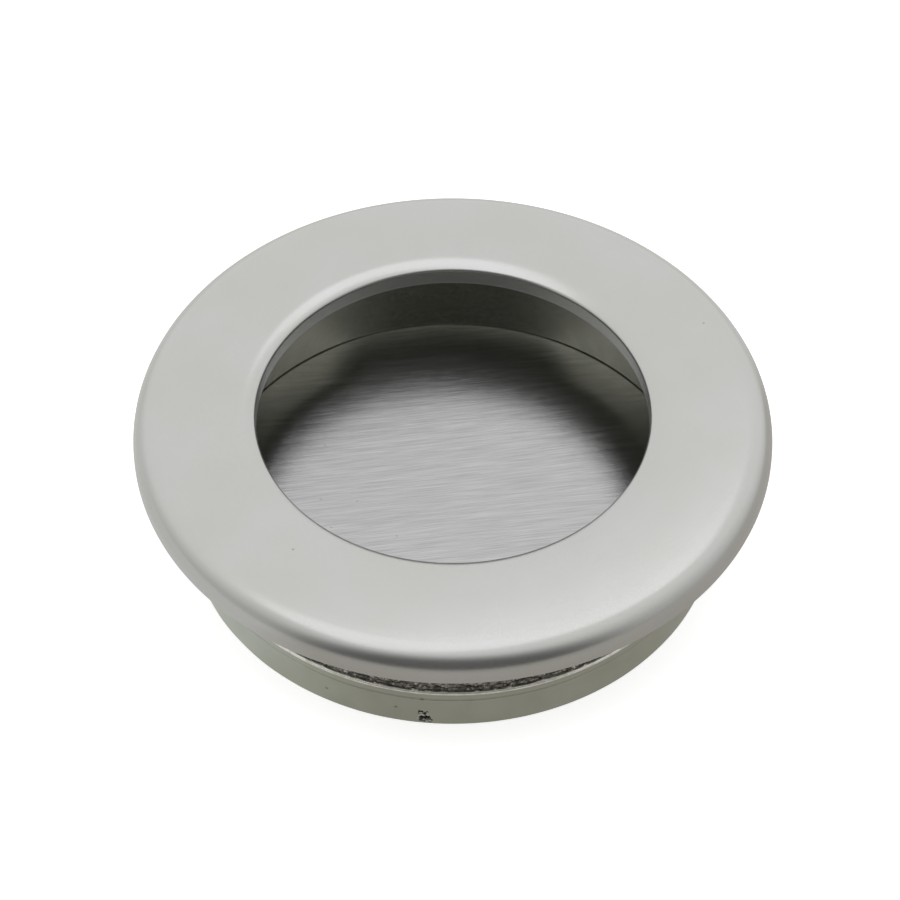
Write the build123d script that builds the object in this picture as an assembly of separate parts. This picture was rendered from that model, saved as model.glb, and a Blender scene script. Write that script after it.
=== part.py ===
"""Round recessed cabinet handle: a cast ring with a domed flange, closed below by a brushed floor disc.

The handle drops into a round hole bored in a door or drawer front. The wide flange seats on the
face of the front, and a finger hooks under the lip of the opening. Millimetres, +Z up, with the
origin at the centre of the bottom rim.
"""
from build123d import *
import math
import os

# Driving dimensions of the ring
flange_diameter = 65.0
body_diameter = 55.0
opening_diameter = 40.0
seat_height = 13.0
flange_height = 3.75

# Section of the flange: an upright edge, a rolled shoulder, a slight crown, and a lip that rolls over
# gently and then turns a tight corner into an upright face
edge_land = 0.6
crown_rise = 0.4
roll_radius = 3.2
roll_turn_degrees = 25.0
lip_round = 1.0
lip_face = 1.25
lip_edge_break = 0.15

# Outside of the body: a narrow rough neck under the flange, above a plain wall
ledge_height = 5.0
ledge_width = 0.6
ledge_break = 0.2
neck_gusset = 0.4
band_height = 1.15
parting_groove_depth = 0.12
parting_groove_width = 0.26
bottom_break = 0.25

# Inside of the body: a cup that is wider than the opening, drawn from below, and the disc's recess
neck_wall = 1.1
cup_draft_degrees = 0.6
ceiling_gusset = 0.8
disc_seat_width = 0.7

# Floor disc
disc_thickness = 1.0
disc_recess = 1.05
disc_clearance = 0.05
disc_edge_chamfer = 0.15

# Scar of the broken casting gate, low on the front of the wall: three angular pits
scar_depth = 0.35
scar_floor_share = 0.45
scar_radii = (0.55, 0.50, 0.42)
scar_heights = (0.85, 0.80, 1.60)
scar_bearings_degrees = (-5.1, -6.6, -5.9)
scar_turns_degrees = (10, 35, 80)
scar_side_counts = (5, 4, 3)

# Sizes that follow
flange_radius = flange_diameter / 2
body_radius = body_diameter / 2
opening_radius = opening_diameter / 2
crest_height = seat_height + flange_height
shoulder_radius = flange_height - edge_land - crown_rise
neck_radius = body_radius - ledge_width
cup_radius = neck_radius - neck_wall
roll_turn = math.radians(roll_turn_degrees)
crest_radius = opening_radius + lip_round + (roll_radius - lip_round) * math.sin(roll_turn)
lip_drop = roll_radius - (roll_radius - lip_round) * math.cos(roll_turn)
ceiling_height = crest_height - lip_drop - lip_face
floor_height = disc_recess + disc_thickness
disc_pocket_radius = cup_radius + disc_seat_width
disc_radius = disc_pocket_radius - disc_clearance
groove_height = ledge_height - band_height


def flange_top():
    """Curves from the lip of the opening over the crown and shoulder to the flange's outer edge."""
    run = flange_radius - shoulder_radius - crest_radius
    crown_to_shoulder = (run**2 + crown_rise**2) / (2 * crown_rise)
    crown_turn = math.degrees(math.asin(run / crown_to_shoulder))
    face = Line((opening_radius, ceiling_height), (opening_radius, ceiling_height + lip_face))
    corner = JernArc(face @ 1, (0, 1), lip_round, roll_turn_degrees - 90)
    roll = JernArc(corner @ 1, corner % 1, roll_radius, -roll_turn_degrees)
    crown = JernArc(roll @ 1, (1, 0), crown_to_shoulder + shoulder_radius, -crown_turn)
    shoulder = JernArc(crown @ 1, crown % 1, shoulder_radius, crown_turn - 90)
    edge = Line(shoulder @ 1, (flange_radius, seat_height))
    return [face, corner, roll, crown, shoulder, edge]


def outer_wall(start):
    """Straight runs from the flange's lower edge in to the neck and down over ledge and groove."""
    half_groove = parting_groove_width / 2
    corners = [
        start,
        (neck_radius, seat_height),
        (neck_radius, ledge_height),
        (body_radius, ledge_height),
        (body_radius, groove_height + half_groove),
        (body_radius - parting_groove_depth, groove_height),
        (body_radius, groove_height - half_groove),
        (body_radius, 0),
    ]
    return Polyline(*corners)


def inner_wall(start):
    """Straight runs from the bottom rim up the disc's pocket and the drafted cup to the lip."""
    rise = ceiling_height - floor_height
    cup_top_radius = cup_radius - rise * math.tan(math.radians(cup_draft_degrees))
    corners = [
        start,
        (disc_pocket_radius, 0),
        (disc_pocket_radius, floor_height),
        (cup_radius, floor_height),
        (cup_top_radius, ceiling_height),
        (opening_radius, ceiling_height),
    ]
    return Polyline(*corners)


def corner_near(face, radius, height):
    """The corner of the section that lies nearest to a radius and a height."""
    target = Vector(radius, height)
    return min(face.vertices(), key=lambda corner: (Vector(corner.X, corner.Y) - target).length)


def ring_section():
    """Half section of the ring, drawn with X as the radius and Y as the height."""
    top = flange_top()
    outside = outer_wall(top[-1] @ 1)
    inside = inner_wall(outside @ 1)
    section = make_face(Curve() + top + [outside, inside])
    corner_breaks = [
        (opening_radius, ceiling_height, lip_edge_break),
        (neck_radius, seat_height, neck_gusset),
        (body_radius, ledge_height, ledge_break),
        (body_radius, 0, bottom_break),
        (cup_radius, ceiling_height, ceiling_gusset),
    ]
    for radius, height, size in corner_breaks:
        section = chamfer(corner_near(section, radius, height), size)
    return section


def gate_scar():
    """Angular pits sunk into the wall, each tapering from its mouth to a floor at the scar's depth."""
    pits = []
    rows = zip(scar_radii, scar_heights, scar_bearings_degrees, scar_turns_degrees, scar_side_counts)
    for radius, height, bearing, turn, sides in rows:
        outward = Vector(0, -1, 0).rotate(Axis.Z, bearing)
        centre = Vector(0, 0, height)
        mouth = Plane(centre + outward * (body_radius + scar_depth), z_dir=outward)
        floor = Plane(centre + outward * (body_radius - scar_depth), z_dir=outward)
        wide = RegularPolygon(radius * (2 - scar_floor_share), sides, rotation=turn)
        narrow = RegularPolygon(radius * scar_floor_share, sides, rotation=turn)
        pits.append(loft([mouth * wide, floor * narrow]))
    return pits


def ring_body():
    """Cast ring: flange, neck, wall and cup in one piece, with the scar of its casting gate."""
    section = Plane.XZ * ring_section()
    return revolve(section, Axis.Z, 360) - gate_scar()


def floor_disc():
    """Brushed disc that is pressed up into its pocket until its rim meets the seat under the cup."""
    disc = Pos(0, 0, disc_recess) * Cylinder(
        disc_radius, disc_thickness, align=(Align.CENTER, Align.CENTER, Align.MIN)
    )
    return chamfer(disc.edges().group_by(Axis.Z)[0], disc_edge_chamfer)


pieces = {"ring_body": ring_body(), "floor_disc": floor_disc()}

os.makedirs("parts", exist_ok=True)
for name, piece in pieces.items():
    export_step(piece, f"parts/{name}.step")
    print(name, "volume", round(piece.volume, 1), "valid", piece.is_valid)
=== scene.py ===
# %% [markdown]
# A round recessed handle for a door or drawer front. A zinc casting makes the whole ring: a domed satin
# flange, a rough neck that no polishing wheel reaches, a plain plated wall and an undercut cup. A brushed
# disc closes the cup from below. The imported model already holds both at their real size, so this lesson
# loads it first and then dresses each node with a finer surface that lies on the same section.

import math

import bpy
import numpy as np
from mathutils import Matrix, Vector


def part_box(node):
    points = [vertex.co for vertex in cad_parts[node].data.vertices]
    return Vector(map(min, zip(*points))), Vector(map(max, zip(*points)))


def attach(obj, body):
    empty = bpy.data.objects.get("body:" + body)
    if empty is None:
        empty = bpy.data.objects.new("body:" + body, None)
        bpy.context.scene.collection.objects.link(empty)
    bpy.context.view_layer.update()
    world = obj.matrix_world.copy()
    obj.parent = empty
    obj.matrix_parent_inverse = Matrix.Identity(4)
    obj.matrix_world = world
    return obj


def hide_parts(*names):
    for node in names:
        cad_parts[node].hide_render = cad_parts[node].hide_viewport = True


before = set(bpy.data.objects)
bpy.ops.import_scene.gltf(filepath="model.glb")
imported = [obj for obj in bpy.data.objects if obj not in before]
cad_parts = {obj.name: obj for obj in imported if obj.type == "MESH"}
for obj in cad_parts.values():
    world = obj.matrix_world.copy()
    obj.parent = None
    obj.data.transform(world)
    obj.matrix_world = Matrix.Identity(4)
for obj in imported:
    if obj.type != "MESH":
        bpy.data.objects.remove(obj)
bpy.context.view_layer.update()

# %% [markdown]
# The section of the ring is drawn in millimetres, as it would be on a workshop drawing, and turned into
# metres only when a mesh is made. The sizes that the frame can tell are read from its boxes. The rest are
# the drawing's own: they could be measured on the loaded mesh, but a named size is easier to read.

# %% Sizes of the ring and the disc
METRES = 0.001

_, ring_high = (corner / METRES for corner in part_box("ring_body"))
disc_low, disc_high = (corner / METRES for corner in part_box("floor_disc"))

flange_radius = ring_high.x
crest_height = ring_high.z
disc_radius = disc_high.x
disc_bottom = disc_low.z
floor_height = disc_high.z

opening_radius = 20.0
body_radius = 27.5
neck_radius = 26.9
cup_radius = 25.8
cup_top_radius = 25.67
disc_pocket_radius = 26.5
seat_height = 13.0
ledge_height = 5.0
ceiling_height = 14.294
groove_height = 3.85
print("flange", flange_radius, "crest", crest_height, "floor", floor_height)

# %% [markdown]
# A turned shape is a profile carried round an axis. The profile here is a chain of straight runs and arcs,
# and each is a small function that returns points without its last one, because the next run starts there.
# A straight run also gets a row close to each end. Those rows hold the smooth shading tight at the corner,
# so that a flat face stays flat right up to its rounded edge.

# %% Runs of a profile
HOLD = 0.03
HOLD_AT_MOST = 0.2


def straight(start, end, rows):
    """Points from start towards end: start + share * (end - start), with a holding row by each end."""
    start, end = np.array(start), np.array(end)
    hold = min(HOLD / np.linalg.norm(end - start), HOLD_AT_MOST)
    share = np.concatenate([[0.0], np.linspace(hold, 1 - hold, rows)])
    return start + share[:, None] * (end - start)


def arc(centre, radius, from_degrees, to_degrees, rows):
    """Points on a circle: centre + radius * (cos turn, sin turn), the turn running evenly."""
    turn = np.radians(np.linspace(from_degrees, to_degrees, rows, endpoint=False))
    return np.array(centre) + radius * np.stack([np.cos(turn), np.sin(turn)], axis=1)


print("a run of 3 rows:", straight((0, 0), (1, 0), 3)[:, 0].round(2))

# %% [markdown]
# The flange is what the eye rests on, so its top is one smooth line: an upright lip face, a tight corner, a
# gentle roll, a slight crown and a rolled shoulder, each arc starting in the direction in which the last one
# ended. The crown's radius follows from how far it runs and how much it falls. Drawn as a spline it would
# need points to be guessed; drawn as tangent arcs it needs a few sizes.

# %% Top of the flange
SATIN, CAST, PLATED, CUP, GLINT = range(5)

roll_radius = 3.2
roll_turn = 32.0
lip_round = 0.5
lip_break = 0.12
edge_land = 0.6
edge_break = 0.12
crown_fall = 0.4

corner_to_roll = roll_radius - lip_round
lip_face_top = crest_height - roll_radius + corner_to_roll * math.cos(math.radians(roll_turn))
lip_corner_at = (opening_radius + lip_round, lip_face_top)
crest_radius = lip_corner_at[0] + corner_to_roll * math.sin(math.radians(roll_turn))
shoulder_radius = crest_height - crown_fall - edge_land - seat_height
shoulder_at = (flange_radius - shoulder_radius, seat_height + edge_land)
crown_run = shoulder_at[0] - crest_radius
crown_radius = (crown_run**2 + crown_fall**2) / (2 * crown_fall) + shoulder_radius
crown_turn = math.degrees(math.asin(crown_run / (crown_radius - shoulder_radius)))

lip_edge_at = (opening_radius + lip_break, ceiling_height + lip_break)
flange_edge_at = (flange_radius - edge_break, seat_height + edge_break)

flange_top = [
    (SATIN, arc(lip_edge_at, lip_break, 270, 180, 3)),
    (SATIN, straight((opening_radius, lip_edge_at[1]), (opening_radius, lip_face_top), 2)),
    (SATIN, arc(lip_corner_at, lip_round, 180, 90 + roll_turn, 8)),
    (SATIN, arc((crest_radius, crest_height - roll_radius), roll_radius, 90 + roll_turn, 90, 6)),
    (SATIN, arc((crest_radius, crest_height - crown_radius), crown_radius, 90, 90 - crown_turn, 8)),
    (SATIN, arc(shoulder_at, shoulder_radius, 90 - crown_turn, 0, 12)),
    (SATIN, straight((flange_radius, shoulder_at[1]), (flange_radius, flange_edge_at[1]), 2)),
    (SATIN, arc(flange_edge_at, edge_break, 0, -90, 3)),
]
print("crown radius", round(crown_radius, 2), "turning", round(crown_turn, 2), "degrees")

# %% [markdown]
# Under the flange the casting steps in to a neck and out again to a ledge. The rows are close together
# where the surface has something to show: low on the neck, where the rough skin is seen above the ledge,
# at the groove where the two halves of the mould met, and low on the wall, where the gate broke off.

# %% Neck, ledge and wall
neck_gusset = 0.4
neck_foot = 0.15
rough_top = 7.2
ledge_break = 0.2
glint_reach = 0.1
groove_reach = 0.28
scar_top = 2.4
bottom_break = 0.12

gusset_at = (neck_radius + neck_gusset, seat_height - neck_gusset)
foot_at = (neck_radius + neck_foot, ledge_height + neck_foot)
ledge_edge_at = (body_radius - ledge_break, ledge_height - ledge_break)
bottom_edge_at = (body_radius - bottom_break, bottom_break)
glint_foot = ledge_edge_at[1] - glint_reach
groove_top = groove_height + groove_reach
groove_foot = groove_height - groove_reach

outer_side = [
    (PLATED, straight((flange_edge_at[0], seat_height), (gusset_at[0], seat_height), 4)),
    (CAST, arc(gusset_at, neck_gusset, 90, 180, 4)),
    (CAST, straight((neck_radius, gusset_at[1]), (neck_radius, rough_top), 8)),
    (CAST, straight((neck_radius, rough_top), (neck_radius, foot_at[1]), 15)),
    (CAST, arc(foot_at, neck_foot, 180, 270, 2)),
    (CAST, straight((foot_at[0], ledge_height), (ledge_edge_at[0], ledge_height), 3)),
    # The ledge's rounded edge and a thin strip of wall below it take the painted glint.
    (GLINT, arc(ledge_edge_at, ledge_break, 90, 0, 4)),
    (GLINT, straight((body_radius, ledge_edge_at[1]), (body_radius, glint_foot), 2)),
    (PLATED, straight((body_radius, glint_foot), (body_radius, groove_top), 2)),
    (PLATED, straight((body_radius, groove_top), (body_radius, groove_foot), 7)),
    (PLATED, straight((body_radius, groove_foot), (body_radius, scar_top), 3)),
    (PLATED, straight((body_radius, scar_top), (body_radius, bottom_edge_at[1]), 40)),
    (PLATED, arc(bottom_edge_at, bottom_break, 0, -90, 4)),
]
print("outer side in", len(outer_side), "runs")

# %% [markdown]
# Inside, the section climbs the pocket of the disc and the cup's wall to the ceiling behind the lip, and
# so comes back to its first point. The satin of the rim goes round the lip as far as that ceiling. The foot
# of the cup's wall is broken by a narrow slope, which leaves the dark crevice that shows round the floor. All
# runs together are one closed line, which is what makes the turned surface a closed skin with no open edge.

# %% Underside and cup
crevice_width = 0.1
crevice_height = 0.18
ceiling_fillet = 0.8
crevice_at = (cup_radius + crevice_width, floor_height)
cup_foot_at = (cup_radius, floor_height + crevice_height)
ceiling_corner_at = (cup_top_radius - ceiling_fillet, ceiling_height - ceiling_fillet)

inner_side = [
    (PLATED, straight((bottom_edge_at[0], 0), (disc_pocket_radius, 0), 2)),
    (PLATED, straight((disc_pocket_radius, 0), (disc_pocket_radius, floor_height), 2)),
    (PLATED, straight((disc_pocket_radius, floor_height), crevice_at, 2)),
    (CUP, straight(crevice_at, cup_foot_at, 2)),
    (CUP, straight(cup_foot_at, (cup_top_radius, ceiling_corner_at[1]), 5)),
    (CUP, arc(ceiling_corner_at, ceiling_fillet, 0, 90, 4)),
    (SATIN, straight((ceiling_corner_at[0], ceiling_height), (lip_edge_at[0], ceiling_height), 3)),
]

section_runs = flange_top + outer_side + inner_side
section = np.concatenate([points for finish, points in section_runs])
row_finish = np.concatenate([np.full(len(points), finish) for finish, points in section_runs])
row_radius, row_height = section.T

along = np.roll(section, -1, axis=0) - np.roll(section, 1, axis=0)
along /= np.linalg.norm(along, axis=1)[:, None]
row_outward = np.stack([-along[:, 1], along[:, 0]], axis=1)
print("section rows", len(section))

# %% [markdown]
# The columns of the turned surface stand evenly round the ring, except in a narrow window in front, where
# the scar of the casting gate is. There they crowd together, because the scar's small facets would fall
# between evenly spaced columns. The mesh stays under 200,000 triangles this way.

# %% Columns round the ring
FRONT_DEGREES = -90.0
scar_bearing = math.radians(FRONT_DEGREES - 5.9)
scar_window = math.radians(5.0)
window_columns = 84
other_columns = 464

window_turn = np.linspace(-scar_window / 2, scar_window / 2, window_columns, endpoint=False)
other_turn = np.linspace(scar_window / 2, 2 * np.pi - scar_window / 2, other_columns, endpoint=False)
column_turn = scar_bearing + np.concatenate([window_turn, other_turn])

turn_grid = column_turn[:, None]
height_grid = row_height[None, :]
print("columns", len(column_turn), "triangles", 2 * len(column_turn) * len(section))

# %% [markdown]
# Cast skin is pebbled, with grains about half a millimetre across. One could put noise into the material
# only, but then the neck's outline would be smooth. Here it is real relief: many cosine waves with random
# headings are added up. A wave must run a whole number of times round the ring, or the seam would show,
# so its wave count round the ring is rounded.

# %% Relief of cast skin
relief_seed = 41
dice = np.random.default_rng(relief_seed)


def cast_relief(shortest, longest, waves):
    """Sum of cosines, cos(count * turn + wave * height + phase), scaled to a spread of one.

    Each has a random length between shortest and longest (millimetres) and a random heading.
    """
    length = dice.uniform(shortest, longest, waves)
    heading = dice.uniform(0, 2 * np.pi, waves)
    phase = dice.uniform(0, 2 * np.pi, waves)
    count = np.round(2 * np.pi / length * np.cos(heading) * neck_radius)
    wave = 2 * np.pi / length * np.sin(heading)
    total = sum(
        np.cos(n * turn_grid + k * (height_grid + row_radius[None, :]) + p)
        for n, k, p in zip(count, wave, phase)
    )
    return total / np.sqrt(waves / 2)


pebble_depth = 0.06
pebble_lengths = (0.75, 1.4)
pebble_waves = 70
ripple_depth = 0.006
ripple_lengths = (4.0, 9.0)
ripple_waves = 30
wall_margin = 0.01

pebbles = cast_relief(*pebble_lengths, pebble_waves)
ripples = cast_relief(*ripple_lengths, ripple_waves)
on_neck = np.where(row_finish == CAST, 1.0, 0.0)
on_wall = np.where((row_finish == PLATED) & (row_radius > body_radius - wall_margin), 1.0, 0.0)
skin_relief = pebble_depth * pebbles * on_neck + ripple_depth * ripples * on_wall
print("pebbles reach", np.abs(pebble_depth * pebbles).max().round(3), "mm")

# %% [markdown]
# The mould's two halves leave a fine groove round the wall. In section it is a bell curve: deepest at the
# parting height and fading on both sides, so no sharp corner has to be meshed.

# %% Parting groove
groove_depth = 0.1
groove_spread = 0.1


def parting_groove():
    """Depth of the groove: a bell curve over height, on the outer wall only."""
    return groove_depth * on_wall * np.exp(-(((row_height - groove_height) / groove_spread) ** 2))


groove = parting_groove()[None, :]
print("groove depth", groove.max().round(3), "mm")

# %% [markdown]
# Where the gate was broken off, the wall has a cluster of chipped pits with flat, angular sides. A pit with
# n sides is the region where n slanted planes lie below the wall. The steepest plane at a point is the
# largest of n dot products, which numpy finds for all points at once. Where pits overlap, the deeper one
# counts, so ridges stand between them. A few crumbs of bare broken metal are left standing in the scar.

# %% Scar of the casting gate
scar_depth = 0.35
scar_floor_share = 0.12
chip_share = 0.2
chip_lengths = (0.3, 0.6)
chip_waves = 40
scar_pits = [
    {"radius": 0.42, "height": 1.70, "bearing": -6.50, "turn": 40, "sides": 4, "depth": 1.0},
    {"radius": 0.55, "height": 0.75, "bearing": -6.35, "turn": 15, "sides": 5, "depth": 0.9},
    {"radius": 0.36, "height": 1.45, "bearing": -5.65, "turn": 10, "sides": 4, "depth": 1.0},
    {"radius": 0.50, "height": 0.85, "bearing": -5.20, "turn": 50, "sides": 5, "depth": 1.0},
    {"radius": 0.34, "height": 0.50, "bearing": -4.50, "turn": 25, "sides": 4, "depth": 0.8},
    {"radius": 0.42, "height": 0.60, "bearing": -5.75, "turn": 65, "sides": 5, "depth": 0.9},
    {"radius": 0.28, "height": 1.75, "bearing": -5.20, "turn": 80, "sides": 4, "depth": 0.6},
]
crumbs = [
    {"radius": 0.22, "height": 1.32, "bearing": -6.33, "share": 1.0},
    {"radius": 0.18, "height": 1.12, "bearing": -6.87, "share": 0.9},
    {"radius": 0.20, "height": 1.40, "bearing": -5.13, "share": 0.6},
    {"radius": 0.14, "height": 0.75, "bearing": -7.15, "share": 0.6},
]


def from_mark(mark):
    """How far each grid point lies across and above a mark on the wall, in millimetres."""
    across = body_radius * (turn_grid - math.radians(FRONT_DEGREES + mark["bearing"]))
    return across, height_grid - mark["height"]


def crumb_share(crumb):
    """The crumb's share at its middle, falling to 0 at its radius: share * (1 - (far / radius) squared)."""
    across, up = from_mark(crumb)
    return crumb["share"] * np.clip(1 - (across**2 + up**2) / crumb["radius"] ** 2, 0, 1)


def pit_depth(pit):
    """How deep a pit is at each grid point, from 0 at its brink to its own depth on its floor.

    The gauge is the largest of the dot products with the directions of the sides, so its level lines
    are polygons; the depth falls evenly from the floor polygon out to the brink polygon.
    """
    across, up = from_mark(pit)
    facing = math.radians(pit["turn"]) + 2 * np.pi * (np.arange(pit["sides"]) + 0.5) / pit["sides"]
    gauge = np.max([across * np.cos(a) + up * np.sin(a) for a in facing], axis=0)
    brink = pit["radius"] * math.cos(math.pi / pit["sides"])
    return pit["depth"] * np.clip((1 - gauge / brink) / (1 - scar_floor_share), 0, 1)


scar_rows = on_wall * (row_height < scar_top)
bare = np.max([crumb_share(crumb) for crumb in crumbs], axis=0) * scar_rows
scar = np.max([pit_depth(pit) for pit in scar_pits], axis=0) * scar_rows * (1 - bare)
chips = cast_relief(*chip_lengths, chip_waves)
relief = skin_relief - groove - scar_depth * scar * (1 + chip_share * np.clip(chips, -1, 1))
print("scar depth", (scar_depth * scar).max().round(2), "mm")

# %% [markdown]
# The ring's shape is now known. Materials come next, because a piece takes its materials when it is made. A
# material is a small network of nodes. Writing each node out takes many lines, so one helper makes a node,
# sets its options and fills its inputs, either with a number or with a link from another node.

# %% Node helpers


def add(tree, kind, inputs=None, **options):
    """A shader node with its options set, and each input given a value or linked to a socket."""
    made = tree.nodes.new("ShaderNode" + kind)
    for option, value in options.items():
        setattr(made, option, value)
    for name, value in (inputs or {}).items():
        if isinstance(value, bpy.types.NodeSocket):
            tree.links.new(value, made.inputs[name])
        else:
            made.inputs[name].default_value = value
    return made


def noise(tree, where, size, detail=3.0):
    """Noise from 0 to 1 with features of about that size in metres."""
    made = add(tree, "TexNoise", {"Vector": where, "Scale": 1 / size, "Detail": detail})
    return made.outputs["Fac"]


def between(tree, value, low, high, from_low=0.3, from_high=0.7, shape="LINEAR"):
    """The value's range from_low to from_high stretched over low to high, and held at both ends."""
    sockets = {"Value": value, "From Min": from_low, "From Max": from_high, "To Min": low, "To Max": high}
    return add(tree, "MapRange", sockets, interpolation_type=shape).outputs["Result"]


def tint(tree, value, low_colour, high_colour):
    """A colour that runs from one to another as the value goes from 0 to 1."""
    ramp = add(tree, "ValToRGB", {"Fac": value})
    for stop, colour in zip(ramp.color_ramp.elements, (low_colour, high_colour)):
        stop.color = (*colour, 1.0)
    return ramp.outputs["Color"]


def mixed_towards(tree, colour, share, dirt_and_shade):
    """The colour where the share is 0, the second colour where it is 1, and a mixture between."""
    made = add(tree, "Mix", {"Factor": share, "A": colour}, data_type="RGBA")
    made.inputs["B"].default_value = (*dirt_and_shade, 1.0)
    return made.outputs["Result"]


def plus(tree, first, second, operation="ADD"):
    """Two values added, or combined by another operation."""
    made = add(tree, "Math", operation=operation)
    for socket, value in zip(made.inputs, (first, second)):
        if isinstance(value, bpy.types.NodeSocket):
            tree.links.new(value, socket)
        else:
            socket.default_value = value
    return made.outputs["Value"]


def bump(tree, height, depth, base=None):
    """A tilted normal from a height that swings over that depth in metres, on a base normal if given."""
    sockets = {"Height": height, "Distance": depth, "Strength": 1.0}
    if base is not None:
        sockets["Normal"] = base
    return add(tree, "Bump", sockets).outputs["Normal"]


def new_metal(name):
    """A material with a metal shader in it, its node tree and its Object coordinates."""
    material = bpy.data.materials.new(name)
    material.use_nodes = True
    tree = material.node_tree
    tree.nodes.clear()
    shader = add(tree, "BsdfPrincipled", {"Metallic": 1.0})
    ending = add(tree, "OutputMaterial")
    tree.links.new(shader.outputs["BSDF"], ending.inputs["Surface"])
    return material, tree, shader, add(tree, "TexCoord").outputs["Object"]


def feed(tree, shader, **sockets):
    """Links values to the shader's inputs, named with underscores for spaces."""
    for name, value in sockets.items():
        tree.links.new(value, shader.inputs[name.replace("_", " ")])


print("node helpers ready")

# %% [markdown]
# Small marks make a bright part believable: specks in the plating of rim and wall, and pits in the floor.
# Each mark has a place on the piece. The material measures the distance of a point from that place and turns
# it into a dark dot with a soft edge. Painting them by hand would need an image, which a part that is
# reused at any size should not carry.

# %% Marks
MARK_CORE = 0.35


def marks(tree, where, places, radius):
    """Share of 1 at each marked place, falling to 0 at the radius (metres)."""
    total = None
    for place in places:
        spot = tuple(METRES * number for number in place)
        far = add(tree, "VectorMath", {0: where, 1: spot}, operation="DISTANCE").outputs["Value"]
        dot = between(tree, far, 1.0, 0.0, MARK_CORE * radius, radius)
        total = dot if total is None else plus(tree, total, dot, "MAXIMUM")
    return total


def on_wall_at(bearing_degrees, height):
    """A place on the outer wall: the bearing is counted from the front, to the right."""
    turn = math.radians(bearing_degrees)
    return (body_radius * math.sin(turn), -body_radius * math.cos(turn), height)


wall_specks = [
    on_wall_at(-27.0, 1.95),
    on_wall_at(-11.7, 2.13),
    on_wall_at(-6.1, 3.82),
    on_wall_at(-6.5, 3.85),
]
rim_specks = [
    (26.0, 12.1, 16.45),
    (-15.5, -18.9, 16.71),
]
floor_pits = [
    (-13.6, 7.9, floor_height),
    (-13.8, 0.3, floor_height),
    (-13.1, -4.1, floor_height),
    (-12.6, -3.6, floor_height),
    (-10.0, 0.05, floor_height),
    (-5.8, -4.7, floor_height),
]
print("specks on rim and wall", len(rim_specks), len(wall_specks), "pits", len(floor_pits))

# %% [markdown]
# The rim is satin nickel: finely blasted before plating, so it shows soft highlights with a haze about them
# and no mirror image. A low roughness gives the soft highlight, and a small share of plain scattering beside
# the metal gives the haze. Large faint clouds of a warmer and a cooler grey keep it from looking like paint.

# %% Satin nickel
SATIN_WARM = (0.542, 0.550, 0.515)
SATIN_COOL = (0.566, 0.568, 0.556)
SPECK_DARK = (0.36, 0.36, 0.34)
SATIN_METAL = 0.82
SATIN_GRAIN = 0.12
satin_cloud_size = 0.009
satin_grain_size = 0.00016
satin_rough = (0.22, 0.27)
satin_bump = 3e-6
rim_speck_radius = 0.00016
rim_speck_rise = -2.0


def satin_nickel():
    """Metal with faint clouds of tint, a fine grain in colour, roughness and normal, and a few specks."""
    material, tree, shader, where = new_metal("satin_nickel")
    shader.inputs["Metallic"].default_value = SATIN_METAL
    clouds = between(tree, noise(tree, where, satin_cloud_size, detail=2.0), 0.0, 1.0)
    grain = noise(tree, where, satin_grain_size)
    specks = marks(tree, where, rim_specks, rim_speck_radius)
    dark = plus(tree, specks, between(tree, grain, 0.0, SATIN_GRAIN), "MAXIMUM")
    colour = mixed_towards(tree, tint(tree, clouds, SATIN_WARM, SATIN_COOL), dark, SPECK_DARK)
    rough = between(tree, grain, *satin_rough)
    height = plus(tree, grain, plus(tree, specks, rim_speck_rise, "MULTIPLY"))
    feed(tree, shader, Base_Color=colour, Roughness=rough, Normal=bump(tree, height, satin_bump))
    return material


satin = satin_nickel()
print("made", satin.name)

# %% [markdown]
# The neck keeps the skin that the mould gave it, under thin plating, duller than the rim. Its relief is
# already in the mesh; the material adds the finest grain. Its colour is a dark grey, a painted shade for the
# shadow under the flange, with near-white specks on the grain's crests as painted sparkle.

# %% Cast skin with painted shade and sparkle
CAST_PAINTED_SHADE = (0.19, 0.18, 0.162)
CAST_PAINTED_SPARKLE = (0.74, 0.73, 0.69)
cast_grain_size = 0.00026
cast_grain_levels = (0.42, 0.7)
cast_rough = (0.45, 0.2)
cast_bump = 1.2e-4


def cast_skin_and_shade():
    """Dull metal with a coarse grain, painted dark as shade, with bright specks on the grain's crests as
    painted sparkle.
    """
    material, tree, shader, where = new_metal("cast_skin_and_shade")
    grain = noise(tree, where, cast_grain_size, detail=4.0)
    colour = tint(tree, between(tree, grain, 0.0, 1.0, *cast_grain_levels), CAST_PAINTED_SHADE, CAST_PAINTED_SPARKLE)
    rough = between(tree, grain, *cast_rough)
    feed(tree, shader, Base_Color=colour, Roughness=rough, Normal=bump(tree, grain, cast_bump))
    return material


cast = cast_skin_and_shade()
print("made", cast.name)

# %% [markdown]
# The wall and the cup are plated as they came from the mould: smoother and glossier than the rim, with a
# faint olive cast, and slightly uneven. The groove and the scar's pits are painted dark as shade, a few
# specks are dark, and the crumbs in the scar are grainy bare metal. How far a point is in the shade or on a
# crumb is written on the mesh as a share, and the material reads it as an attribute.

# %% Plated casting
PLATE_OLIVE = (0.425, 0.455, 0.380)
PLATE_GREY = (0.475, 0.497, 0.435)
PLATE_DIRT_AND_SHADE = (0.035, 0.033, 0.028)
BROKEN_METAL = (0.88, 0.87, 0.84)
broken_metallic = 0.3
plated_cloud_size = 0.004
plated_grain_size = 0.0003
plated_rough = (0.13, 0.2)
plated_bump = 4e-6
wall_speck_radius = 0.00022
wall_speck_share = 0.5


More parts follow.
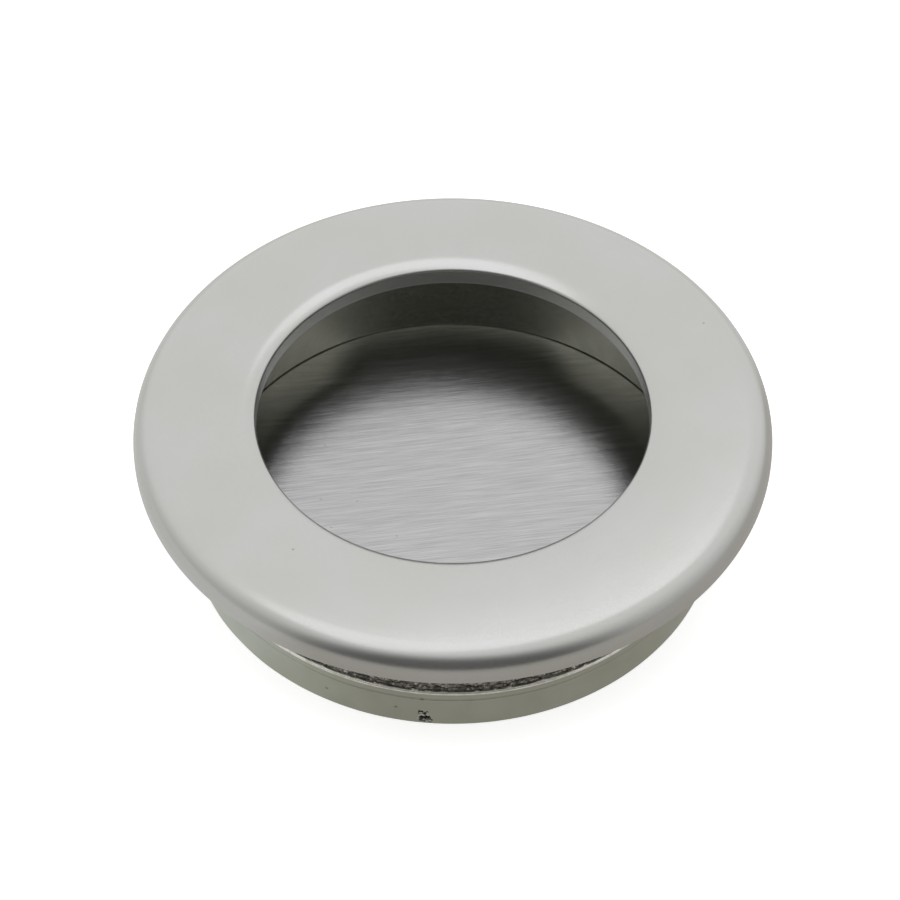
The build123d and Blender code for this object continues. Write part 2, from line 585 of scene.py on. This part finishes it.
def plated_casting():
    """Glossy uneven metal in two near tints, with painted shade where the mesh says that it is recessed, and
    dark specks.
    """
    material, tree, shader, where = new_metal("plated_casting")
    clouds = between(tree, noise(tree, where, plated_cloud_size), 0.0, 1.0)
    grain = noise(tree, where, plated_grain_size)
    painted_recess_shade = add(tree, "Attribute", attribute_name="painted_recess_shade").outputs["Fac"]
    crumb = add(tree, "Attribute", attribute_name="bare").outputs["Fac"]
    specks = plus(tree, marks(tree, where, wall_specks, wall_speck_radius), wall_speck_share, "MULTIPLY")
    dirt_and_shade = plus(tree, painted_recess_shade, specks, "MAXIMUM")
    marked_and_shaded = mixed_towards(tree, tint(tree, clouds, PLATE_OLIVE, PLATE_GREY), dirt_and_shade, PLATE_DIRT_AND_SHADE)
    colour = mixed_towards(tree, marked_and_shaded, crumb, BROKEN_METAL)
    rough = between(tree, grain, *plated_rough)
    feed(tree, shader, Base_Color=colour, Roughness=rough, Normal=bump(tree, grain, plated_bump))
    feed(tree, shader, Metallic=between(tree, crumb, 1.0, broken_metallic, 0.0, 1.0))
    return material


plated = plated_casting()
print("made", plated.name)

# %% [markdown]
# The rounded edge of the ledge is given a near-white metal colour, a painted glint that makes it the
# brightest line on the part. It is a little rough, and duller in random patches.

# %% Painted glint on the ledge edge
GLINT_BRIGHT = (0.95, 0.94, 0.90)
GLINT_DULL = (0.78, 0.77, 0.72)
glint_patch_size = 0.0008
glint_patch_levels = (0.38, 0.55)
glint_rough = (0.38, 0.26)
glint_bump = 2e-5


def painted_glint_edge():
    """Near-white metal as a painted glint on the ledge edge, duller in random patches."""
    material, tree, shader, where = new_metal("painted_glint_edge")
    patches = noise(tree, where, glint_patch_size)
    colour = tint(tree, between(tree, patches, 0.0, 1.0, *glint_patch_levels), GLINT_DULL, GLINT_BRIGHT)
    rough = between(tree, patches, *glint_rough)
    feed(tree, shader, Base_Color=colour, Roughness=rough, Normal=bump(tree, patches, glint_bump))
    return material


glint_edge = painted_glint_edge()
print("made", glint_edge.name)

# %% [markdown]
# Plating current hardly reaches into a deep cup, so its olive plating is thinner and darker than the wall's.
# Wall and floor together turn a ray back to where it came from. The back of the cup therefore shows the dark
# side of the room behind the camera, and its two ends show the pale sides, without any painted shade.

# %% Cup skin
CUP_OLIVE = (0.375, 0.383, 0.318)
CUP_BROWN = (0.43, 0.426, 0.364)
cup_cloud_size = 0.005
cup_grain_size = 0.0004
cup_rough = (0.16, 0.22)
cup_bump = 2e-6


def cup_skin():
    """Dark thin plating with faint brown clouds and a fine grain."""
    material, tree, shader, where = new_metal("cup_skin")
    clouds = between(tree, noise(tree, where, cup_cloud_size), 0.0, 1.0)
    grain = noise(tree, where, cup_grain_size)
    colour = tint(tree, clouds, CUP_OLIVE, CUP_BROWN)
    rough = between(tree, grain, *cup_rough)
    feed(tree, shader, Base_Color=colour, Roughness=rough, Normal=bump(tree, grain, cup_bump))
    return material


cup = cup_skin()
print("made", cup.name)

# %% [markdown]
# A mesh is a list of points and a list of faces. The ring's rows and columns both close on themselves, so its
# quads are the same everywhere, with the neighbours' indices taken by a roll of the index table. One helper
# makes these quads, and another makes a piece from points, faces and finishes.

# %% Mesh helpers


def ring_quads(index):
    """Quads between each column and the next, and each row and the next, with both directions closed."""
    right = np.roll(index, -1, axis=0)
    return np.stack([index, np.roll(index, -1, 1), np.roll(right, -1, 1), right], axis=2).reshape(-1, 4)


def piece_from(name, points, faces, finishes, face_finish, shares=None):
    """A mesh object at the origin, smooth shaded, with its materials, face finishes and point shares."""
    mesh = bpy.data.meshes.new(name)
    mesh.from_pydata(points * METRES, [], faces)
    for finish in finishes:
        mesh.materials.append(finish)
    mesh.polygons.foreach_set("material_index", np.asarray(face_finish, dtype=np.int32))
    mesh.polygons.foreach_set("use_smooth", np.ones(len(faces), dtype=bool))
    for share, values in (shares or {}).items():
        layer = mesh.attributes.new(share, "FLOAT", "POINT")
        layer.data.foreach_set("value", np.asarray(values, dtype=np.float32).ravel())
    mesh.validate()
    piece = bpy.data.objects.new(name, mesh)
    bpy.context.scene.collection.objects.link(piece)
    return piece


print("quads on a grid of 3 by 4:", len(ring_quads(np.arange(12).reshape(3, 4))))

# %% [markdown]
# With its finishes ready, the ring can be made. Every grid point starts on the section, moves along the
# section's outward direction by the relief, and is turned round the axis. A face takes the finish of the row
# that it starts from.

# %% Ring
groove_shade = 0.2
scar_shade_from = 0.1
scar_shade_gain = 1.6

columns, rows = relief.shape
radial = row_radius[None, :] + relief * row_outward[None, :, 0]
upward = row_height[None, :] + relief * row_outward[None, :, 1]
ring_points = np.stack([radial * np.cos(turn_grid), radial * np.sin(turn_grid), upward], axis=2)
ring_points = ring_points.reshape(-1, 3)
ring_faces = ring_quads(np.arange(columns * rows).reshape(columns, rows))
ring_finish = np.tile(row_finish, columns)
# The groove and the scar's deeper pits get a painted shade, written on the mesh as a share.
scar_shade = np.clip((scar - scar_shade_from) / (1 - scar_shade_from), 0, 1)
painted_recess_shade = np.clip(groove_shade * groove / groove_depth + scar_shade_gain * scar_shade, 0, 1)
ring_finishes = [satin, cast, plated, cup, glint_edge]

ring_shares = {"painted_recess_shade": painted_recess_shade, "bare": bare}
ring = piece_from("ring_body_skin", ring_points, ring_faces, ring_finishes, ring_finish, ring_shares)
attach(ring, "root")
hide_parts("ring_body")
print(ring.name, "triangles", 2 * len(ring_faces))

# %% [markdown]
# The floor is a disc of sheet metal, brushed straight across before it was pressed in. Its surface is a
# round grid: rings of points about the centre, carried over the edge and across the underside, with one
# point closing each pole. A few pits from dust in the plating are sunk into the top as small bowls.

# %% Floor disc points
disc_columns = 640
disc_edge = 0.08
disc_chamfer = 0.15
pit_radius = 0.13
pit_sink = 0.012
top_rows = 112
top_margin = 0.001
pole_radius = 0.25

top_edge_at = (disc_radius - disc_edge, floor_height - disc_edge)
chamfer_foot = (disc_radius - disc_chamfer, disc_bottom)
disc_profile = np.concatenate([
    straight((pole_radius, floor_height), (top_edge_at[0], floor_height), top_rows),
    arc(top_edge_at, disc_edge, 90, 0, 3),
    straight((disc_radius, top_edge_at[1]), (disc_radius, disc_bottom + disc_chamfer), 2),
    straight((disc_radius, disc_bottom + disc_chamfer), chamfer_foot, 2),
    straight(chamfer_foot, (pole_radius, disc_bottom), 6),
])
disc_turn = np.linspace(0, 2 * np.pi, disc_columns, endpoint=False)[:, None]
disc_x = disc_profile[None, :, 0] * np.cos(disc_turn)
disc_y = disc_profile[None, :, 0] * np.sin(disc_turn)
disc_z = np.broadcast_to(disc_profile[None, :, 1], disc_x.shape).copy()


def sink_pits(x, y, z):
    """Lowers the top by a bell-shaped bowl round each pit: sink * exp(-(distance / radius) squared)."""
    on_top = z > floor_height - top_margin
    for pit_x, pit_y, _ in floor_pits:
        far = np.hypot(x - pit_x, y - pit_y)
        z = z - pit_sink * np.exp(-((far / pit_radius) ** 2)) * on_top
    return z


disc_z = sink_pits(disc_x, disc_y, disc_z)
print("disc grid", disc_x.shape)

# %% [markdown]
# Brushing scratches the sheet in one direction, so the metal is rough across the scratches and nearly
# mirror-like along them. The shader's anisotropy does that, and it needs to know the direction: a small UV
# map with its first axis across the grain tells it. A belt that runs askew cuts scratches with one long flank
# and one short one, so on average the surface leans across the grain; a normal map in the same UV map says
# so. At the rim's left and right, where the strokes start and end, the belt hardly bears and the lean fades.
# The scratches themselves are noise that is stretched along the grain, with lines of several widths.

# %% Brushed plate
grain_degrees = 8.5
flank_lean = 11.0
stroke_middle = (0.009, 0.015)
stroke_inside = (0.0195, 0.0225)
PLATE_LIGHT = (0.405, 0.405, 0.40)
PLATE_SHADE = (0.315, 0.315, 0.307)
PIT_DARK = (0.27, 0.27, 0.26)
hair_lines = (0.004, 0.00005)
fine_lines = (0.005, 0.00011)
broad_lines = (0.012, 0.0006)
scratch_lines = (0.0035, 0.00018)
scratch_levels = (0.68, 0.76)
shade_levels = (1.15, 1.85)
rough_levels = (0.7, 1.3)
plate_rough = (0.18, 0.21)
plate_anisotropy = 0.7
plate_bump = 1e-5
line_rise = 0.1
pit_mark_radius = 0.00014


def along_grain(tree, where):
    """The coordinates turned so that their first axis runs along the grain."""
    turn = (0, 0, math.radians(-grain_degrees))
    return add(tree, "Mapping", {"Vector": where, "Rotation": turn}).outputs["Vector"]


def stretched(tree, where, length, width):
    """Noise drawn out along the grain: features that long and that wide, in metres."""
    size = (1 / length, 1 / width, 1)
    squeezed = add(tree, "Mapping", {"Vector": along_grain(tree, where), "Scale": size})
    made = add(tree, "TexNoise", {"Vector": squeezed.outputs["Vector"], "Scale": 1.0, "Detail": 3.0})
    return made.outputs["Fac"]


def belt_pressure(tree, where):
    """How hard the belt bears: 1 near the middle line and inside the rim, 0 at the rim's left and right."""
    sideways = add(tree, "SeparateXYZ", {"Vector": where}).outputs["X"]
    aside = plus(tree, sideways, 0.0, "ABSOLUTE")
    outward = add(tree, "VectorMath", {0: where}, operation="LENGTH").outputs["Value"]
    near_middle = between(tree, aside, 1.0, 0.0, *stroke_middle, "SMOOTHSTEP")
    off_rim = between(tree, outward, 1.0, 0.0, *stroke_inside, "SMOOTHSTEP")
    return plus(tree, near_middle, off_rim, "MAXIMUM")


def leaning(degrees):
    """The colour by which a normal map tells a lean across the grain."""
    lean = math.radians(degrees)
    return (0.5 - 0.5 * math.sin(lean), 0.5, 0.5 + 0.5 * math.cos(lean))


def brushed_plate():
    """Metal rough across a straight grain, with fine and broad lines, bright scratches and dark pits."""
    material, tree, shader, where = new_metal("brushed_plate")
    hair = stretched(tree, where, *hair_lines)
    fine = stretched(tree, where, *fine_lines)
    broad = stretched(tree, where, *broad_lines)
    scratch = between(tree, stretched(tree, where, *scratch_lines), 0.0, 1.0, *scratch_levels)
    lines = plus(tree, fine, broad)
    shade = between(tree, plus(tree, lines, fine), 0.0, 1.0, *shade_levels)
    pits = marks(tree, where, floor_pits, pit_mark_radius)
    bright = plus(tree, shade, scratch, "MAXIMUM")
    colour = mixed_towards(tree, tint(tree, bright, PLATE_SHADE, PLATE_LIGHT), pits, PIT_DARK)
    rough = between(tree, lines, *plate_rough, *rough_levels)
    height = plus(tree, hair, plus(tree, lines, line_rise, "MULTIPLY"))
    flank = tint(tree, belt_pressure(tree, where), leaning(0.0), leaning(flank_lean))
    flanks = add(tree, "NormalMap", {"Color": flank}, uv_map="grain").outputs["Normal"]
    across = add(tree, "Tangent", direction_type="UV_MAP", uv_map="grain").outputs["Tangent"]
    shader.inputs["Anisotropic"].default_value = plate_anisotropy
    feed(tree, shader, Base_Color=colour, Roughness=rough, Tangent=across)
    feed(tree, shader, Normal=bump(tree, height, plate_bump, flanks))
    return material


brushed = brushed_plate()
print("made", brushed.name)

# %% [markdown]
# The disc is put together like the ring, except that its rows do not close on themselves: the first and
# the last ring are each closed by a fan of triangles to a point on the axis.

# %% Floor disc
disc_rows = disc_profile.shape[0]
index = np.arange(disc_columns * disc_rows).reshape(disc_columns, disc_rows)
top_pole = disc_columns * disc_rows
low_pole = top_pole + 1
poles = np.array([(0, 0, floor_height), (0, 0, disc_bottom)])
disc_points = np.concatenate([np.stack([disc_x, disc_y, disc_z], axis=2).reshape(-1, 3), poles])

ahead = np.roll(index, -1, axis=0)
bands = np.stack([index[:, :-1], index[:, 1:], ahead[:, 1:], ahead[:, :-1]], axis=2).reshape(-1, 4)
top_fan = np.stack([np.full(disc_columns, top_pole), index[:, 0], ahead[:, 0]], axis=1)
low_fan = np.stack([np.full(disc_columns, low_pole), ahead[:, -1], index[:, -1]], axis=1)
disc_faces = bands.tolist() + top_fan.tolist() + low_fan.tolist()
disc = piece_from("floor_disc_skin", disc_points, disc_faces, [brushed], np.zeros(len(disc_faces)))


def lay_grain(piece):
    """UV map with its first axis across the grain and its second along it, in metres."""
    corners = np.empty(len(piece.data.loops), dtype=np.int32)
    piece.data.loops.foreach_get("vertex_index", corners)
    turn = math.radians(grain_degrees)
    x, y = disc_points[corners, 0] * METRES, disc_points[corners, 1] * METRES
    across = -x * math.sin(turn) + y * math.cos(turn)
    lengthwise = x * math.cos(turn) + y * math.sin(turn)
    layer = piece.data.uv_layers.new(name="grain")
    layer.data.foreach_set("uv", np.stack([across, lengthwise], axis=1).astype(np.float32).ravel())


lay_grain(disc)
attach(disc, "root")
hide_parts("floor_disc")
print(disc.name, "faces", len(disc_faces))

# %% [markdown]
# The stage is a plain pale floor. To be white in the picture without flooding the part with light, it
# glows, but only for rays that come from the camera or from a reflection. What the polished metal shows of
# the floor is a greyish beige in front and to the right, towards the dark side of the room, and paler to the
# left and behind. The light that falls on the part doesn't change, and the soft shadow stays.

# %% Floor
FLOOR_REACH = 3.0
floor_gap = 0.00002
FLOOR_WHITE = (0.88, 0.88, 0.88)
FLOOR_SHADED = (0.20, 0.19, 0.18)
WHITE = (1.0, 1.0, 1.0)
BEIGE = (1.0, 0.95, 0.89)
camera_glow = 0.64
front_glow, back_glow = 0.37, 0.62
front_reach, back_reach = -0.02, 0.002
right_share = 0.9
far_front, near_front = -0.3, -0.06
far_share = 0.5


def studio_floor():
    """Pale matt material that glows for the camera, and for reflections by where a point lies."""
    material = bpy.data.materials.new("studio_floor")
    material.use_nodes = True
    tree = material.node_tree
    tree.nodes.clear()
    seen = add(tree, "LightPath").outputs
    where = add(tree, "SeparateXYZ", {"Vector": add(tree, "TexCoord").outputs["Object"]})
    mirrored = plus(tree, seen["Is Glossy Ray"], seen["Is Transmission Ray"], "MAXIMUM")
    rightward = plus(tree, where.outputs["X"], right_share, "MULTIPLY")
    slant = plus(tree, where.outputs["Y"], rightward, "SUBTRACT")
    pale = between(tree, slant, 0.0, 1.0, front_reach, back_reach)
    sweep = between(tree, pale, front_glow, back_glow, 0.0, 1.0)
    nearer = between(tree, where.outputs["Y"], far_share, 1.0, far_front, near_front)
    mirror_glow = plus(tree, mirrored, plus(tree, sweep, nearer, "MULTIPLY"), "MULTIPLY")
    seen_glow = plus(tree, seen["Is Camera Ray"], camera_glow, "MULTIPLY")
    glow = plus(tree, seen_glow, mirror_glow)
    glow_colour = tint(tree, plus(tree, seen["Is Camera Ray"], pale, "MAXIMUM"), BEIGE, WHITE)
    light = add(tree, "Emission", {"Color": glow_colour, "Strength": glow})
    matt = add(tree, "BsdfDiffuse", {"Color": tint(tree, seen["Is Camera Ray"], FLOOR_SHADED, FLOOR_WHITE)})
    both = add(tree, "AddShader", {0: light.outputs["Emission"], 1: matt.outputs["BSDF"]})
    add(tree, "OutputMaterial", {"Surface": both.outputs["Shader"]})
    return material


floor_corners = FLOOR_REACH * np.array([(-1, -1, 0), (1, -1, 0), (1, 1, 0), (-1, 1, 0)])
floor_mesh = bpy.data.meshes.new("floor")
floor_mesh.from_pydata(floor_corners, [], [(0, 1, 2, 3)])
floor_mesh.materials.append(studio_floor())
floor = bpy.data.objects.new("floor", floor_mesh)
floor.location.z = -floor_gap
bpy.context.scene.collection.objects.link(floor)
print("floor", 2 * FLOOR_REACH, "m wide")

# %% [markdown]
# Metal shows its surroundings, so the light is a room and not only a lamp. The room is pale behind and
# above, greyer low at the sides, and dark behind the camera; that dark side is what draws the shadow line
# along the front of the rolled edge. A long soft panel hangs overhead, turned across the part, and adds the
# broad highlight. Its light is a little cooler than the room's, as a lamp's often is.

# %% Light
FRONT_LEVEL = 0.1
SIDE_SHARE = 0.62
front_edge = (-0.85, -0.47)
side_edge = (0.0, 0.7)
back_lift = 0.6


def studio_room():
    """World light by direction: pale behind and above, dark towards the front, white for the camera."""
    world = bpy.data.worlds.new("studio_room")
    world.use_nodes = True
    tree = world.node_tree
    tree.nodes.clear()
    heading = add(tree, "SeparateXYZ", {"Vector": add(tree, "TexCoord").outputs["Generated"]}).outputs
    front = between(tree, heading["Y"], FRONT_LEVEL, 1.0, *front_edge, "SMOOTHSTEP")
    height = plus(tree, heading["Z"], plus(tree, heading["Y"], back_lift, "MULTIPLY"))
    lower = between(tree, height, SIDE_SHARE, 1.0, *side_edge)
    room = plus(tree, front, lower, "MULTIPLY")
    seen = add(tree, "LightPath").outputs["Is Camera Ray"]
    strength = plus(tree, room, seen, "MAXIMUM")
    light = add(tree, "Background", {"Color": (*WHITE, 1.0), "Strength": strength})
    add(tree, "OutputWorld", {"Surface": light.outputs["Background"]})
    return world


bpy.context.scene.world = studio_room()

panel_height = 0.5
panel_size = (0.74, 0.31)
panel_centre = (-0.003, 0.036)
panel_turn = math.radians(38)
panel_level = 0.46
PANEL_COOL = (0.92, 0.90, 1.0)

panel = bpy.data.lights.new("overhead_panel", "AREA")
panel.shape = "RECTANGLE"
panel.size, panel.size_y = panel_size
panel.color = PANEL_COOL
panel.energy = panel_level * math.pi * panel_size[0] * panel_size[1]
lamp = bpy.data.objects.new("overhead_panel", panel)
lamp.location = (*panel_centre, panel_height)
lamp.rotation_euler.z = panel_turn
lamp.visible_camera = False
bpy.context.scene.collection.objects.link(lamp)
print("panel", round(panel.energy, 3), "W")

# %% [markdown]
# The camera stands where the photograph was taken from: in front, almost 49 degrees up, with a long lens.
# It looks at a point on the axis inside the ring, and is tipped by the few pixels by which that point lies
# off the middle of the picture.

# %% Camera
PICTURE_PIXELS = 900
focal_pixels = 3200.0
view_elevation = math.radians(48.645)
view_distance = 0.33174
view_roll = math.radians(0.133)
aim = Vector((0, 0, 0.006))
aim_pixels_right = 2.7
aim_pixels_down = 26.6
nearest_seen = 0.01

forward = Vector((0, math.cos(view_elevation), -math.sin(view_elevation)))
level_right = Vector((1, 0, 0))
level_up = level_right.cross(forward)
right = math.cos(view_roll) * level_right + math.sin(view_roll) * level_up
up = right.cross(forward)
look = forward + (aim_pixels_down * up - aim_pixels_right * right) / focal_pixels
look.normalize()
side = look.cross(up).normalized()
top = side.cross(look)

lens = bpy.data.cameras.new("camera")
lens.lens = focal_pixels / PICTURE_PIXELS * lens.sensor_width
lens.clip_start = nearest_seen
camera = bpy.data.objects.new("camera", lens)
turned = Matrix((side, top, -look)).transposed().to_4x4()
camera.matrix_world = Matrix.Translation(aim - view_distance * forward) @ turned
bpy.context.scene.collection.objects.link(camera)
bpy.context.scene.camera = camera
bpy.context.scene.view_settings.view_transform = "Standard"
print("lens", round(lens.lens, 1), "mm")

# %% [markdown]
# Last, the view layer is brought up to date.

# %% Finish
bpy.context.view_layer.update()
